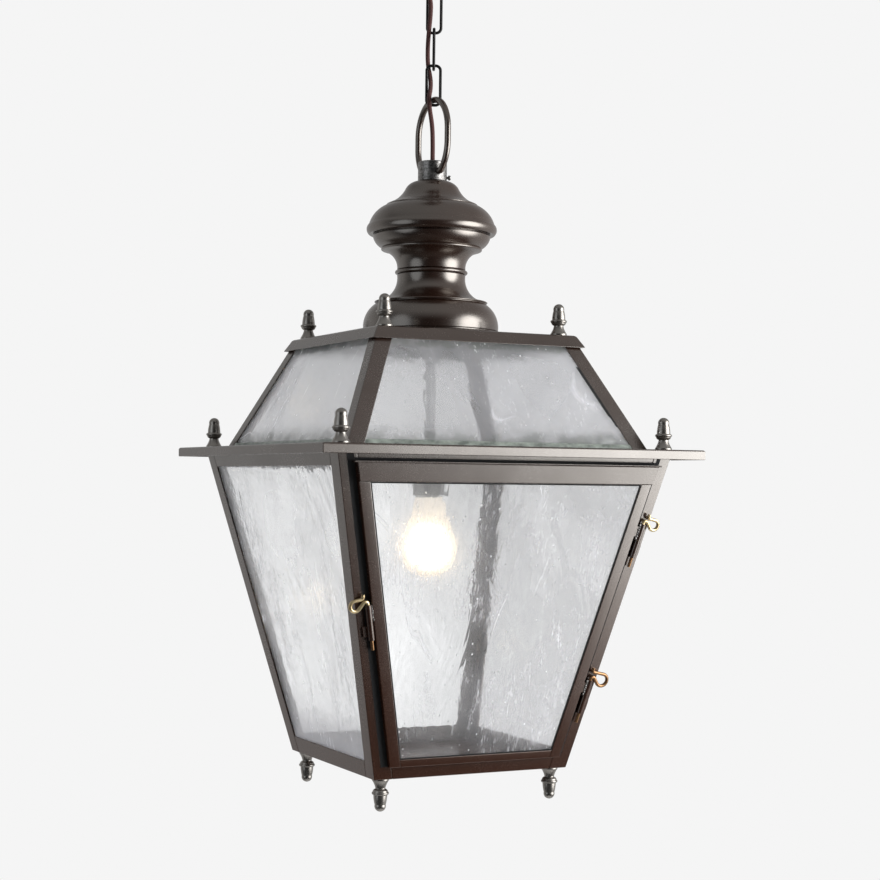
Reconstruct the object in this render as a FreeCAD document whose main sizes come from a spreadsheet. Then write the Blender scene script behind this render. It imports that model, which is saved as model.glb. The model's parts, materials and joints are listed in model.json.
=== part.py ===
import FreeCAD, Part
import math
import os
import re

import Sketcher

V = FreeCAD.Vector

# Outdoor hanging lantern: a tapered square lantern with a hinged door, hung by a ring and a
# short chain from a ceiling canopy. Millimetres, +Z up, origin on the ceiling at the canopy.
# The door is on the -Y side. Levels are negative because the lantern hangs below the origin.
SIZES = {
    # ceiling canopy and its loop
    "canopy_radius": 52,
    "canopy_height": 26,
    "canopy_rim": 4,
    "canopy_face": 22,
    "canopy_bulge": 5,
    "canopy_wall": 2,
    "bar_end_gap": 6,
    "bar_width": 16,
    "bar_thick": 2.5,
    "bar_hole": 2.3,
    "bar_pitch": 60,
    "stud_radius": 3,
    "stud_gap": 0.2,
    "loop_neck": 6,
    "loop_neck_radius": 6,
    "loop_radius": 8.5,
    "loop_wire": 4,
    # chain, seen turned from the lantern
    "chain_turn": 26,
    "chain_wire": 3,
    "link_length": 43.5,
    "link_width": 17,
    "link_bend": 5,
    "link_gap": 0.4,
    # hanging ring and the collar that holds its ends
    "ring_bar": 6.4,
    "ring_radius": 34,
    "ring_straight": 12,
    "ring_foot": 5.5,
    "ring_bend": 6,
    "ring_end": 8.5,
    "collar_radius": 14.75,
    "collar_height": 19.5,
    "collar_bore": 8,
    "collar_lid": 3,
    "collar_chamfer": 1,
    "eye_height": 8.6,
    "eye_gap": 0.3,
    "cord_hole": 4,
    "cord_radius": 2.3,
    "cord_gap": 0.3,
    # spun crown, from the top cap up
    "crown_wall": 3,
    "dome_radius": 70,
    "dome_rim": 5,
    "dome_rim_bulge": 1,
    "dome_step": 1.2,
    "dome_side": 12,
    "dome_bulge": 3,
    "shoulder_radius": 57,
    "shoulder_height": 34.5,
    "shoulder_lip": 1.5,
    "shoulder_lip_bulge": 0.5,
    "ledge_radius": 52.5,
    "ledge_height": 36.8,
    "throat_radius": 34.8,
    "throat_hollow": 6,
    "dome_height": 63.5,
    "waist_height": 5.6,
    "waist_bulge": 2.2,
    "flare_radius": 46.5,
    "flare_height": 18.5,
    "flare_hollow": 3.7,
    "bowl_edge_radius": 50.5,
    "bowl_edge": 21.9,
    "bowl_lip": 2.4,
    "bowl_lip_bulge": 0.9,
    "bowl_radius": 60,
    "bowl_height": 35.7,
    "bowl_bulge": 1.9,
    "lid_overhang": 4,
    "lid_rim": 10.4,
    "lid_rim_bulge": 2.4,
    "lid_shoulder_radius": 46.5,
    "lid_shoulder": 29.7,
    "lid_bulge": 3.1,
    "lid_step_lip": 1,
    "lid_step_radius": 39.5,
    "lid_step": 33.8,
    "lid_neck_radius": 26.8,
    "lid_neck": 47.7,
    "lid_neck_hollow": 1.5,
    "lid_top_radius": 16,
    "lid_top_drop": 0.7,
    "lid_top_bulge": 1.4,
    "lid_height": 55.2,
    # sheet metal and glass
    "sheet": 2,
    "glass": 3,
    "glass_gap": 0.5,
    # top cap and roof
    "cap_top_half": 107.8,
    "cap_flare": 7.2,
    "cap_depth": 12.25,
    "cap_bend": 4,
    "roof_rise": 113.1,
    "roof_eave": 40.4,
    "roof_seat": 1.8,
    "hip_leg": 17,
    # brim
    "brim_half": 200,
    "brim_edge": 9.4,
    "brim_ledge": 54,
    "brim_chamfer": 1.2,
    # body
    "body_drop": 313.5,
    "brim_overhang": 24.7,
    "foot_half": 103.6,
    "post_leg": 19,
    "head_rail": 18,
    "foot_rail": 16.5,
    # door
    "door_inset": 15,
    "door_gap": 0.5,
    "door_thick": 5,
    "door_stile": 11.5,
    "door_face": 1.6,
    "door_web": 2.5,
    "door_top": 16.7,
    "door_head": 17.3,
    "door_head_proud": 2.5,
    "door_drip": 1.4,
    "door_drip_proud": 0.8,
    "door_drip_over": 3.2,
    "door_rise": 12,
    "door_foot": 7.5,
    "pane_lap": 4,
    # knuckles and loose pins of the hinges and the latch
    "hinge_clear": 3.5,
    "latch_clear": 0.5,
    "knuckle_off": 0.5,
    "knuckle_radius": 3,
    "knuckle_length": 17,
    "knuckle_gap": 0.3,
    "hinge_upper": 88.5,
    "hinge_lower": 241.8,
    "latch_drop": 162.5,
    "ear_height": 10,
    "ear_thick": 1.8,
    "ear_gap": 0.15,
    "post_ear": 7,
    "pin_radius": 1.3,
    "pin_gap": 0.3,
    "pin_tail": 9.5,
    "pin_rise": 1,
    "curl_neck": 2.4,
    "curl_reach": 6.5,
    "curl_loop": 5,
    "curl_return": 6,
    "long_curl_loop": 6,
    "long_curl_return": 11,
    "curl_tip": 2.4,
    "curl_end": 1.5,
    # finials
    "finial_base": 8.2,
    "finial_base_rim": 1.8,
    "finial_neck": 4.8,
    "finial_neck_height": 9.2,
    "finial_neck_hollow": 0.4,
    "finial_bead_gap": 0.8,
    "finial_cup": 7.4,
    "finial_cup_height": 2.9,
    "finial_cup_bulge": 0.6,
    "finial_bead_bulge": 1.2,
    "finial_nut": 6.6,
    "finial_nut_foot": 15.6,
    "finial_crown": 5.3,
    "finial_crown_bulge": 0.3,
    "finial_nut_top": 25,
    "finial_tip": 1,
    "finial_tip_bulge": 1.7,
    "finial_height": 31.5,
    "brim_finial_in": 29.4,
    "cap_finial_in": 12.6,
    "foot_finial_in": 11.9,
    # lamp
    "stem_radius": 5.5,
    "stem_bore": 1.8,
    "stem_gap": 0.2,
    "stem_play": 0.7,
    "holder_rise": 5,
    "holder_radius": 17.5,
    "holder_length": 52,
    "holder_hub": 9,
    "holder_hub_height": 7,
    "holder_shoulder": 13,
    "socket_depth": 27,
    "socket_gap": 0.4,
    "bulb_cap_radius": 13.2,
    "bulb_cap_proud": 2,
    "bulb_neck": 14.2,
    "bulb_radius": 29.75,
    "bulb_flat": 1,
    "bulb_drop": 101,
}

# Sizes, levels and slopes that follow from the sizes above.
LEVELS = {
    "bar_length": "2 * (canopy_radius - bar_end_gap)",
    "ring_drop": "ring_radius - ring_foot",
    "lid_rim_radius": "bowl_radius + lid_overhang",
    "cap_skirt_half": "cap_top_half + cap_flare",
    "roof_low_half": "brim_half - roof_eave",
    "roof_high_half": "cap_top_half - roof_seat",
    "brim_opening": "brim_half - brim_ledge",
    "body_head_half": "brim_half - brim_overhang",
    "hinge_inset": "door_inset - knuckle_radius - hinge_clear",
    "latch_inset": "door_inset - knuckle_radius - latch_clear",
    "knuckle_out": "knuckle_radius + knuckle_off",
    "finial_bead_foot": "finial_neck_height + finial_bead_gap",
    "finial_cup_top": "finial_neck_height + finial_bead_gap + finial_cup_height",
    "brim_finial": "brim_half - brim_finial_in",
    "cap_finial": "cap_top_half - cap_finial_in",
    "foot_finial": "foot_half - foot_finial_in",
    "stem_rise": "collar_height - collar_lid - stem_play",
    "loop_centre": "-(canopy_height + loop_neck + loop_radius)",
    "loop_low": "loop_centre - loop_radius",
    "link_pitch": "link_length - chain_wire",
    "link_seat": "chain_wire + link_gap",
    "link_one": "loop_low + loop_wire / 2 + chain_wire / 2 + link_gap",
    "link_two": "link_one - link_pitch + link_seat",
    "link_three": "link_two - link_pitch + link_seat",
    "ring_top": "link_three - link_pitch + chain_wire / 2 + ring_bar / 2 + link_gap",
    "ring_low_centre": "ring_top - ring_radius - ring_straight",
    "eye_axis": "ring_low_centre - ring_drop",
    "foot_across": "sqrt((ring_radius - ring_bend)^2 - (ring_drop - ring_bend)^2)",
    "turn_across": "foot_across * ring_radius / (ring_radius - ring_bend)",
    "turn_drop": "(ring_drop - ring_bend) * ring_radius / (ring_radius - ring_bend)",
    "crown_top": "eye_axis - eye_height",
    "lid_base": "crown_top - lid_height",
    "bowl_base": "lid_base - bowl_height",
    "waist_base": "bowl_base - waist_height",
    "cap_top": "waist_base - dome_height",
    "brim_top": "cap_top - roof_rise",
    "roof_top": "cap_top - sheet",
    "roof_slope": "(roof_low_half - roof_high_half) / (roof_top - brim_top)",
    "body_top": "brim_top - sheet",
    "body_low": "brim_top - body_drop",
    "body_slope": "(body_head_half - foot_half) / (body_drop - brim_edge)",
    "door_high": "brim_top - door_top",
    "door_low": "body_low + door_rise",
    "holder_top": "brim_top + holder_rise",
    "holder_low": "holder_top - holder_length",
    "bulb_centre": "brim_top - bulb_drop",
}

# The supply cord's points, in the chain's own turned frame and on the levels of what it
# passes: it leaves the canopy, weaves through the links and drops through the ring.
CORD_ROUTE = (
    (-12, -5, "6 - canopy_height"),
    (-12, -5, "-2 - canopy_height"),
    (-8.6, -4.9, "loop_centre + 0.5"),
    (-3.4, -4.6, "loop_low - 5"),
    (-3.8, -4.6, "link_one - 24.9"),
    (-5.4, -4.9, "link_two - 3.8"),
    (-6.4, 0, "link_two - 19.8"),
    (-6, 4.9, "link_three + 0.8"),
    (-3.2, 2.8, "link_three - 10.7"),
    (-2.6, -0.8, "link_three - 22.7"),
    (-4.7, -5.4, "ring_top + 0.7"),
    (-3.4, -5.4, "ring_top - 11.3"),
    (-0.6, -3.4, "ring_top - 27.3"),
    (0, -1.2, "ring_low_centre + 0.7"),
    (0, 0, "eye_axis + 15.2"),
    (0, 0, "eye_axis + 7.2"),
)
# Runs of the route in whose middle one stretch of cord ends and the next begins.
CORD_CUTS = (3, 5, 8, 11)
# Share of each run of the cord that stays straight between its bends.
CORD_STRAIGHT = 0.1

# Sides and corners in the order of quarter turns about the vertical.
SIDES = ("front", "right", "back", "left")
CORNERS = ("front_left", "front_right", "back_right", "back_left")
HALF_ROOT = "(sqrt(2) / 2)"

doc = FreeCAD.newDocument("hanging_lantern")
sheet = doc.addObject("Spreadsheet::Sheet", "Sizes")
levels = doc.addObject("Spreadsheet::Sheet", "Levels")
nodes = []


def linked(text):
    """Lead each size and level in an expression with the name of its sheet."""
    def lead(match):
        word = match.group(0)
        if word in SIZES:
            return "Sizes." + word
        if word in LEVELS:
            return "Levels." + word
        return word
    return re.sub(r"[a-z][a-z_]+", lead, text)


def value(text):
    """Read an expression's value from the sheets."""
    return float(levels.evalExpression(linked(text)))


def bind(thing, prop, text):
    """Tie a property to the sheets."""
    thing.setExpression(prop, linked(text))


def node(thing, label):
    """Enter a finished sub-part under the name of its file."""
    thing.Label = label
    nodes.append(thing)
    return thing


def fill_sheets():
    """Write the driving sizes and the levels that follow from them."""
    for row, (alias, number) in enumerate(SIZES.items(), 1):
        sheet.set("A%d" % row, alias)
        sheet.set("B%d" % row, str(number))
        sheet.setAlias("B%d" % row, alias)
    for row, (alias, text) in enumerate(LEVELS.items(), 1):
        levels.set("A%d" % row, alias)
        levels.set("B%d" % row, "=" + linked(text))
        levels.setAlias("B%d" % row, alias)
    doc.recompute()


def origin_feature(body, role):
    """Find one of a body's own origin planes or axes."""
    return next(item for item in body.Origin.OriginFeatures if item.Role == role)


def sketch_on(body, role, name, offset=("0", "0", "0")):
    """Add a sketch on one of a body's origin planes, shifted in the plane's own axes."""
    sketch = body.newObject("Sketcher::SketchObject", name)
    sketch.AttachmentSupport = [(origin_feature(body, role), "")]
    sketch.MapMode = "FlatFace"
    for letter, text in zip("xyz", offset):
        if text != "0":
            bind(sketch, "AttachmentOffset.Base." + letter, text)
    return sketch


def tie_point(sketch, geometry, end, across, along):
    """Tie a point of a sketch to the sheets by its two distances from the origin."""
    for kind, axis, text in (("DistanceX", -2, across), ("DistanceY", -1, along)):
        number = value(text)
        if abs(number) < 1e-9:
            sketch.addConstraint(Sketcher.Constraint("PointOnObject", geometry, end, axis))
            continue
        index = sketch.addConstraint(Sketcher.Constraint(kind, -1, 1, geometry, end, number))
        bind(sketch, "Constraints[%d]" % index, text)


def outline(sketch, steps, closed=True):
    """Draw lines and arcs from corner to corner, with each corner tied to the sheets.

    A step holds the corner's two distances. A third entry makes the way there an arc and
    gives its rise over the chord, to the left of the way.
    """
    corners = [V(value(step[0]), value(step[1]), 0) for step in steps]
    ways = list(steps[1:])
    if closed:
        ways.append(steps[0][:2])
    drawn = []
    for number, step in enumerate(ways):
        start = corners[number]
        end = corners[(number + 1) % len(corners)]
        if len(step) == 3:
            chord = end - start
            left = V(-chord.y, chord.x, 0).normalize()
            middle = (start + end) * 0.5 + left * value(step[2])
            geometry = sketch.addGeometry(Part.Arc(start, middle, end))
        else:
            geometry = sketch.addGeometry(Part.LineSegment(start, end))
        first = 1 if sketch.getPoint(geometry, 1).distanceToPoint(start) < 1e-6 else 2
        drawn.append((geometry, first, 3 - first))
    for number, (geometry, first, last) in enumerate(drawn):
        tie_point(sketch, geometry, first, *steps[number][:2])
        if number + 1 < len(drawn):
            follower = drawn[number + 1]
        elif closed:
            follower = drawn[0]
        else:
            tie_point(sketch, geometry, last, *steps[number + 1][:2])
            continue
        sketch.addConstraint(
            Sketcher.Constraint("Coincident", geometry, last, follower[0], follower[1]))
    return len(drawn)


def disc(sketch, radius, across="0", along="0"):
    """Draw a circle in a sketch."""
    centre = V(value(across), value(along), 0)
    geometry = sketch.addGeometry(Part.Circle(centre, V(0, 0, 1), value(radius)))
    tie_point(sketch, geometry, 3, across, along)
    index = sketch.addConstraint(Sketcher.Constraint("Radius", geometry, value(radius)))
    bind(sketch, "Constraints[%d]" % index, radius)


def square(sketch, half):
    """Draw a square about the sketch's origin."""
    less = "-(%s)" % half
    outline(sketch, [(less, less), (half, less), (half, half), (less, half)])


def new_body(name):
    """Add an empty body."""
    return doc.addObject("PartDesign::Body", name)


def spun(name, steps, level, across="0"):
    """Revolve a profile of radius and height; ACROSS moves its axis along -X and -Y."""
    body = new_body(name)
    shift = ("-(%s)" % across, level, across) if across != "0" else ("0", level, "0")
    profile = sketch_on(body, "XZ_Plane", name + "_profile", shift)
    outline(profile, steps)
    turned = body.newObject("PartDesign::Revolution", name + "_spin")
    turned.Profile = profile
    turned.ReferenceAxis = (profile, ["V_Axis"])
    turned.Angle = 360
    profile.Visibility = False
    return body, turned


def piped(name, plane, path_steps, section_plane, section_shift, section_spot, radius):
    """Sweep a round section along an open path of lines and arcs."""
    body = new_body(name)
    path = sketch_on(body, plane, name + "_path")
    count = outline(path, path_steps, closed=False)
    section = sketch_on(body, section_plane, name + "_section", ("0", "0", section_shift))
    disc(section, radius, *section_spot)
    pipe = body.newObject("PartDesign::AdditivePipe", name + "_pipe")
    pipe.Profile = section
    pipe.Spine = (path, ["Edge%d" % (number + 1) for number in range(count)])
    return body, pipe


def slab(name, half, low, high, across, out, turn=0):
    """Add a slanted plate between two levels.

    ACROSS and OUT give its edges along and away from a wall, with HALF standing for the
    wall's half width, which changes with the level. TURN counts quarter turns.
    """
    plate = doc.addObject("Part::Wedge", name)
    bind(plate, "Ymin", low)
    bind(plate, "Ymax", high)
    for prop, pair in (("X", across), ("Z", out)):
        for mark, level in (("", low), ("2", high)):
            for limit, text in zip(("min", "max"), pair):
                spot = text.replace("HALF", half.replace("LEVEL", "(%s)" % level))
                bind(plate, prop + mark + limit, spot)
    upright = FreeCAD.Rotation(V(1, 0, 0), 90)
    quarter = FreeCAD.Rotation(V(0, 0, 1), 90 * turn)
    plate.Placement = FreeCAD.Placement(V(0, 0, 0), quarter * upright)
    return plate


def cut(base, tool, name):
    """Cut one object from another."""
    result = doc.addObject("Part::Cut", name)
    result.Base = base
    result.Tool = tool
    return result


def group(members, name):
    """Gather identical pieces in one object."""
    result = doc.addObject("Part::Compound", name)
    result.Links = members
    return result


BODY_HALF = "(foot_half + body_slope * (LEVEL - body_low))"
ROOF_HALF = "(roof_low_half - roof_slope * (LEVEL - brim_top))"


def chain_frame():
    """Return the turn of the chain, the loop and the cord about the vertical."""
    return FreeCAD.Rotation(V(0, 0, 1), -value("chain_turn"))


def make_bar():
    """Make the bar that is screwed to the ceiling and carries the loop's stud."""
    body = new_body("ceiling_bar")
    strip = sketch_on(body, "XY_Plane", "bar_outline")
    along = "bar_length / 2"
    across = "bar_width / 2"
    outline(strip, [("-" + along, "-" + across), (along, "-" + across),
                    (along, across), ("-" + along, across)])
    pad = body.newObject("PartDesign::Pad", "bar_pad")
    pad.Profile = strip
    pad.Reversed = True
    bind(pad, "Length", "bar_thick")
    spots = sketch_on(body, "XY_Plane", "bar_holes")
    disc(spots, "bar_hole", "bar_pitch / 2")
    disc(spots, "bar_hole", "-bar_pitch / 2")
    holes = body.newObject("PartDesign::Pocket", "bar_drilled")
    holes.Profile = spots
    holes.Type = "ThroughAll"
    body.Tip = holes
    node(body, "ceiling_bar")


def make_canopy():
    """Make the spun ceiling canopy, with the hole that the cord leaves by, and its loop."""
    body, turned = spun("ceiling_canopy", [
        ("canopy_radius", "0"),
        ("canopy_radius", "-canopy_rim"),
        ("canopy_face", "-canopy_height", "canopy_bulge"),
        ("stud_radius + stud_gap", "-canopy_height"),
        ("stud_radius + stud_gap", "canopy_wall - canopy_height"),
        ("canopy_face - canopy_wall", "canopy_wall - canopy_height"),
        ("canopy_radius - canopy_wall", "-canopy_rim", "-canopy_bulge"),
        ("canopy_radius - canopy_wall", "0"),
    ], "0")
    hole = sketch_on(body, "XY_Plane", "cord_exit")
    start = chain_frame().multVec(V(*CORD_ROUTE[0][:2], 0))
    radius = value("cord_radius + cord_gap")
    hole.addGeometry(Part.Circle(V(start.x, start.y, 0), V(0, 0, 1), radius))
    index = hole.addConstraint(Sketcher.Constraint("Radius", 0, radius))
    bind(hole, "Constraints[%d]" % index, "cord_radius + cord_gap")
    pocket = body.newObject("PartDesign::Pocket", "cord_exit_cut")
    pocket.Profile = hole
    pocket.Type = "ThroughAll"
    body.Tip = pocket
    node(body, "ceiling_canopy")

    eye = doc.addObject("Part::Torus", "loop_eye")
    bind(eye, "Radius1", "loop_radius")
    bind(eye, "Radius2", "loop_wire / 2")
    eye.Placement.Rotation = FreeCAD.Rotation(V(0, 1, 0), 90)
    bind(eye, "Placement.Base.z", "loop_centre")
    neck = doc.addObject("Part::Cone", "loop_shoulder")
    bind(neck, "Radius1", "loop_wire / 2")
    bind(neck, "Radius2", "loop_neck_radius")
    bind(neck, "Height", "loop_neck")
    bind(neck, "Placement.Base.z", "-canopy_height - loop_neck")
    stud = doc.addObject("Part::Cylinder", "loop_stud")
    bind(stud, "Radius", "stud_radius")
    bind(stud, "Height", "canopy_height - bar_thick")
    bind(stud, "Placement.Base.z", "-canopy_height")
    loop = doc.addObject("Part::MultiFuse", "canopy_loop")
    loop.Shapes = [eye, neck, stud]
    loop.Placement.Rotation = chain_frame()
    node(loop, "canopy_loop")


def make_link(name, top, quarter):
    """Make one chain link; TOP is its upper wire's centre, QUARTER turns it by 90 degrees."""
    wide = "((link_width - chain_wire) / 2)"
    tall = "(link_pitch / 2)"
    inner = "(%s - link_bend)" % wide
    rise = "-(link_bend * (1 - %s))" % HALF_ROOT
    body, half = piped(name, "XZ_Plane", [
        (wide, "0"),
        (wide, "%s - link_bend" % tall),
        (inner, tall, rise),
        ("-" + inner, tall),
        ("-" + wide, "%s - link_bend" % tall, rise),
        ("-" + wide, "0"),
    ], "XY_Plane", "0", (wide, "0"), "chain_wire / 2")
    whole = body.newObject("PartDesign::Mirrored", name + "_whole")
    whole.Originals = [half]
    whole.MirrorPlane = (origin_feature(body, "XY_Plane"), [""])
    body.Tip = whole
    body.Placement.Rotation = chain_frame() * FreeCAD.Rotation(V(0, 0, 1), quarter)
    bind(body, "Placement.Base.z", "%s - link_pitch / 2" % top)
    node(body, name)


def make_ring():
    """Make the open hanging ring, whose two ends turn in to the collar's eyes."""
    def rise(radius, span):
        return "(%s - sqrt(%s^2 - (%s) / 4))" % (radius, radius, span)
    sweep = rise("ring_radius", "(ring_radius - turn_across)^2 + turn_drop^2")
    bend = rise("ring_bend", "(turn_across - foot_across)^2 + (ring_drop - turn_drop)^2")
    body, pipe = piped("hanging_ring", "YZ_Plane", [
        ("ring_end", "-ring_drop"),
        ("foot_across", "-ring_drop"),
        ("turn_across", "-turn_drop", "-" + bend),
        ("ring_radius", "0", "-" + sweep),
        ("ring_radius", "ring_straight"),
        ("-ring_radius", "ring_straight", "-ring_radius"),
        ("-ring_radius", "0"),
        ("-turn_across", "-turn_drop", "-" + sweep),
        ("-foot_across", "-ring_drop", "-" + bend),
        ("-ring_end", "-ring_drop"),
    ], "XZ_Plane", "-ring_end", ("0", "-ring_drop"), "ring_bar / 2")
    bind(body, "Placement.Base.z", "ring_low_centre")
    node(body, "hanging_ring")


def make_collar():
    """Make the turned collar with its two eyes for the ring and its cord hole."""
    body, turned = spun("collar_blank", [
        ("collar_bore", "0"),
        ("collar_radius", "0"),
        ("collar_radius", "collar_height - collar_chamfer"),
        ("collar_radius - collar_chamfer", "collar_height"),
        ("cord_hole", "collar_height"),
        ("cord_hole", "collar_height - collar_lid"),
        ("collar_bore", "collar_height - collar_lid"),
    ], "crown_top")
    eyes = doc.addObject("Part::Cylinder", "collar_eyes")
    bind(eyes, "Radius", "ring_bar / 2 + eye_gap")
    bind(eyes, "Height", "2 * collar_radius")
    eyes.Placement.Rotation = FreeCAD.Rotation(V(1, 0, 0), 90)
    bind(eyes, "Placement.Base.y", "collar_radius")
    bind(eyes, "Placement.Base.z", "eye_axis")
    node(cut(body, eyes, "collar"), "collar")


def make_crown():
    """Make the four spun pieces of the crown."""
    body, turned = spun("crown_dome", [
        ("dome_radius - dome_rim_bulge", "0"),
        ("dome_radius - dome_rim_bulge", "dome_rim", "-dome_rim_bulge"),
        ("dome_radius - dome_step", "dome_rim + dome_step"),
        ("dome_radius - dome_step", "dome_side"),
        ("shoulder_radius", "shoulder_height", "-dome_bulge"),
        ("shoulder_radius", "shoulder_height + shoulder_lip", "-shoulder_lip_bulge"),
        ("ledge_radius", "ledge_height"),
        ("throat_radius", "dome_height", "throat_hollow"),
        ("throat_radius - crown_wall", "dome_height"),
        ("ledge_radius - crown_wall", "ledge_height - crown_wall", "-throat_hollow"),
        ("shoulder_radius - crown_wall", "shoulder_height - crown_wall"),
        ("dome_radius - crown_wall", "dome_side", "dome_bulge"),
        ("dome_radius - crown_wall", "0"),
    ], "cap_top")
    node(body, "crown_dome")
    body, turned = spun("crown_waist", [
        ("throat_radius - crown_wall", "0"),
        ("throat_radius", "0"),
        ("throat_radius", "waist_height", "-waist_bulge"),
        ("throat_radius - crown_wall", "waist_height"),
    ], "waist_base")
    node(body, "crown_waist")
    body, turned = spun("crown_bowl", [
        ("throat_radius", "0"),
        ("flare_radius", "flare_height", "flare_hollow"),
        ("bowl_edge_radius", "bowl_edge - bowl_lip"),
        ("bowl_edge_radius", "bowl_edge", "-bowl_lip_bulge"),
        ("bowl_radius", "bowl_height", "-bowl_bulge"),
        ("bowl_radius - crown_wall", "bowl_height"),
        ("flare_radius - crown_wall", "bowl_edge"),
        ("throat_radius - crown_wall", "0", "-flare_hollow"),
    ], "bowl_base")
    node(body, "crown_bowl")
    body, turned = spun("crown_cap", [
        ("bowl_radius - crown_wall", "0"),
        ("lid_rim_radius", "0"),
        ("lid_rim_radius", "lid_rim", "-lid_rim_bulge"),
        ("lid_shoulder_radius", "lid_shoulder", "-lid_bulge"),
        ("lid_shoulder_radius", "lid_shoulder + lid_step_lip"),
        ("lid_step_radius", "lid_step"),
        ("lid_neck_radius", "lid_neck", "lid_neck_hollow"),
        ("lid_top_radius", "lid_height - lid_top_drop", "-lid_top_bulge"),
        ("collar_bore", "lid_height"),
        ("stem_radius + stem_gap", "lid_height"),
        ("stem_radius + stem_gap", "lid_height - crown_wall"),
        ("lid_top_radius", "lid_height - 2.5 * crown_wall"),
        ("lid_step_radius - 3 * crown_wall", "lid_shoulder"),
        ("bowl_radius - crown_wall", "lid_rim"),
    ], "lid_base")
    node(body, "crown_cap")


def make_top_cap():
    """Make the square pan of the top cap, with its stem hole and rounded upper edges."""
    skirt = "(cap_top_half + (cap_skirt_half - cap_top_half) / cap_depth * (cap_top - LEVEL))"
    outer = slab("cap_outside", skirt, "cap_top - cap_depth", "cap_top",
                 ("-HALF", "HALF"), ("-HALF", "HALF"))
    doc.recompute()
    top = value("cap_top")
    edges = [number + 1 for number, edge in enumerate(outer.Shape.Edges)
             if all(abs(vertex.Z - top) < 1e-6 for vertex in edge.Vertexes)]
    rounded = doc.addObject("Part::Fillet", "cap_rounded")
    rounded.Base = outer
    bend = value("cap_bend")
    rounded.Edges = [(number, bend, bend) for number in edges]
    inside = ("-(HALF - sheet)", "HALF - sheet")
    inner = slab("cap_inside", skirt, "cap_top - cap_depth", "roof_top", inside, inside)
    hole = doc.addObject("Part::Cylinder", "cap_stem_hole")
    bind(hole, "Radius", "stem_radius + stem_gap")
    bind(hole, "Height", "cap_depth")
    bind(hole, "Placement.Base.z", "cap_top - cap_depth")
    node(cut(cut(rounded, inner, "cap_shell"), hole, "top_cap"), "top_cap")


def make_roof():
    """Make the hip bars at the roof's corners and the panes that lie behind their legs."""
    whole = ("-HALF", "hip_leg - HALF")
    for turn, corner in enumerate(CORNERS):
        outer = slab("hip_blank_" + corner, ROOF_HALF, "brim_top", "roof_top",
                     whole, ("HALF - hip_leg", "HALF"), turn)
        inner = slab("hip_hollow_" + corner, ROOF_HALF, "brim_top", "roof_top",
                     ("sheet - HALF", "hip_leg - HALF"), ("HALF - hip_leg", "HALF - sheet"), turn)
        node(cut(outer, inner, "hip_bar_" + corner), "hip_bar_" + corner)
    edge = "HALF - sheet - glass - glass_gap"
    for turn, side in enumerate(SIDES):
        pane = slab("roof_pane_" + side, ROOF_HALF, "brim_top", "roof_top - glass_gap",
                    ("-(%s)" % edge, edge), ("HALF - sheet - glass", "HALF - sheet"), turn)
        node(pane, "roof_pane_" + side)


def make_brim():
    """Make the brim, an inverted square tray with a wide opening."""
    body = new_body("brim")
    edge = sketch_on(body, "XY_Plane", "brim_outline")
    square(edge, "brim_half")
    pad = body.newObject("PartDesign::Pad", "brim_pad")
    pad.Profile = edge
    pad.Reversed = True
    bind(pad, "Length", "brim_edge")
    doc.recompute()
    top_edges = ["Edge%d" % (number + 1) for number, item in enumerate(pad.Shape.Edges)
                 if all(abs(vertex.Z) < 1e-6 for vertex in item.Vertexes)]
    bevel = body.newObject("PartDesign::Chamfer", "brim_bevel")
    bevel.Base = (pad, top_edges)
    bind(bevel, "Size", "brim_chamfer")
    tray = sketch_on(body, "XY_Plane", "brim_tray", ("0", "0", "-brim_edge"))
    square(tray, "brim_half - sheet")
    hollow = body.newObject("PartDesign::Pocket", "brim_hollow")
    hollow.Profile = tray
    hollow.Reversed = True
    bind(hollow, "Length", "brim_edge - sheet")
    window = sketch_on(body, "XY_Plane", "brim_window")
    square(window, "brim_opening")
    opening = body.newObject("PartDesign::Pocket", "brim_open")
    opening.Profile = window
    opening.Type = "ThroughAll"
    body.Tip = opening
    bind(body, "Placement.Base.z", "brim_top")
    node(body, "brim")


def make_frame():
    """Make the corner posts, the rails between them, the side panes and the bottom plate."""
    for turn, corner in enumerate(CORNERS):
        outer = slab("post_blank_" + corner, BODY_HALF, "body_low", "body_top",
                     ("-HALF", "post_leg - HALF"), ("HALF - post_leg", "HALF"), turn)
        inner = slab("post_hollow_" + corner, BODY_HALF, "body_low", "body_top",
                     ("sheet - HALF", "post_leg - HALF"), ("HALF - post_leg", "HALF - sheet"), turn)
        node(cut(outer, inner, "corner_post_" + corner), "corner_post_" + corner)
    between = ("post_leg - HALF", "HALF - post_leg")
    skin = ("HALF - sheet", "HALF")
    edge = "HALF - sheet - glass - glass_gap"
    for turn, side in enumerate(SIDES):
        node(slab("top_rail_" + side, BODY_HALF, "body_top - head_rail", "body_top",
                  between, skin, turn), "top_rail_" + side)
        node(slab("bottom_rail_" + side, BODY_HALF, "body_low", "body_low + foot_rail",
                  between, skin, turn), "bottom_rail_" + side)
        if side != "front":
            node(slab("side_pane_" + side, BODY_HALF, "body_low + sheet", "body_top - glass_gap",
                      ("-(%s)" % edge, edge), ("HALF - sheet - glass", "HALF - sheet"), turn),
                 "side_pane_" + side)
    inside = ("sheet - HALF", "HALF - sheet")
    node(slab("bottom_plate", BODY_HALF, "body_low", "body_low + sheet", inside, inside),
         "bottom_plate")


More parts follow.
